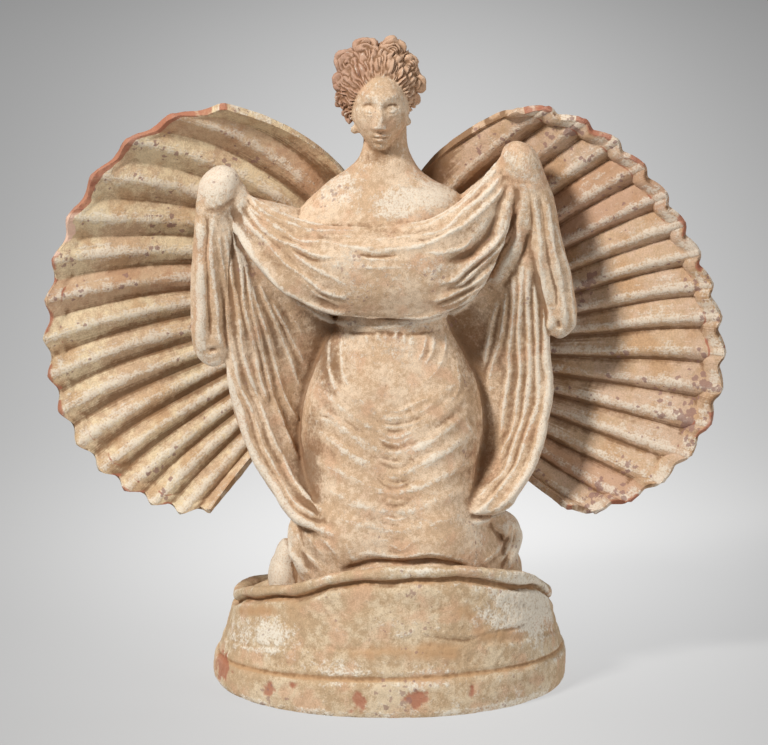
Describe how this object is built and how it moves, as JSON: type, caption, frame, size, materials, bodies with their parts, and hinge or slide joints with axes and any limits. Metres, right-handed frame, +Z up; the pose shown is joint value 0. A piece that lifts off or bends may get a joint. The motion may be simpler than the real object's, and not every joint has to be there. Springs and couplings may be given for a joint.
{
  "type": "terracotta figurine",
  "caption": "Moulded terracotta figurine of a kneeling draped woman who holds out her cloak in front of an open scallop shell, on a moulded drum plinth.",
  "frame": {"origin": "centre of the plinth's flat underside", "axes": "+Z up, -Y the way the woman faces, +X to a viewer's right when she is seen from the front"},
  "size_m": [0.233, 0.0898, 0.2256],
  "materials": {
    "figure_clay": "matt fired clay with remains of white slip on the folds and brown dirt in the hollows",
    "shell_clay": "matt fired clay with a brown crust, worn to bare red clay on the rims",
    "plinth_clay": "matt fired clay with pale slip, chipped along the foot"
  },
  "bodies": {
    "root": {"figure": "figure_clay", "shell_valve_left": "shell_clay", "shell_valve_right": "shell_clay", "plinth": "plinth_clay"}
  },
  "joints": []
}
